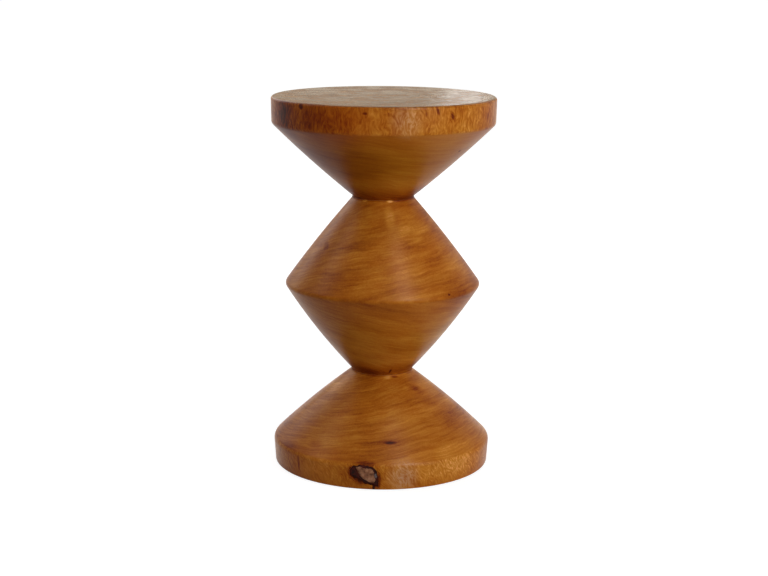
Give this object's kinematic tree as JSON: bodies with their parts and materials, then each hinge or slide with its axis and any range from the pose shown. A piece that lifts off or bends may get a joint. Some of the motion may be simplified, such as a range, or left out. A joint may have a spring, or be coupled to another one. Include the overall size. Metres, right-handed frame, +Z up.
{
  "type": "stool",
  "caption": "Round stool turned in hardwood with a zigzag profile: flat seat over an inverted cone, a diamond-shaped middle and a conical base, standing on felt glides.",
  "frame": {"origin": "on the floor under the turning axis of the stool", "axes": "+Z up along the turning axis, the side with the knot in the base rim faces -Y, +X to the right as seen from that side"},
  "size_m": [0.27, 0.27, 0.45],
  "materials": {
    "turned_hardwood": "satin lacquer",
    "dowel_hardwood": "bare, glued",
    "knot_wood": "satin lacquer",
    "dark_resin": "polished flush",
    "wool_felt": "pressed felt"
  },
  "bodies": {
    "root": {"seat_block": "turned_hardwood", "middle_block": "turned_hardwood", "base_block": "turned_hardwood", "upper_tenon": "dowel_hardwood", "lower_tenon": "dowel_hardwood", "knot_plug": "knot_wood", "knot_resin": "dark_resin", "felt_glide_1": "wool_felt", "felt_glide_2": "wool_felt", "felt_glide_3": "wool_felt", "felt_glide_4": "wool_felt"}
  },
  "joints": []
}
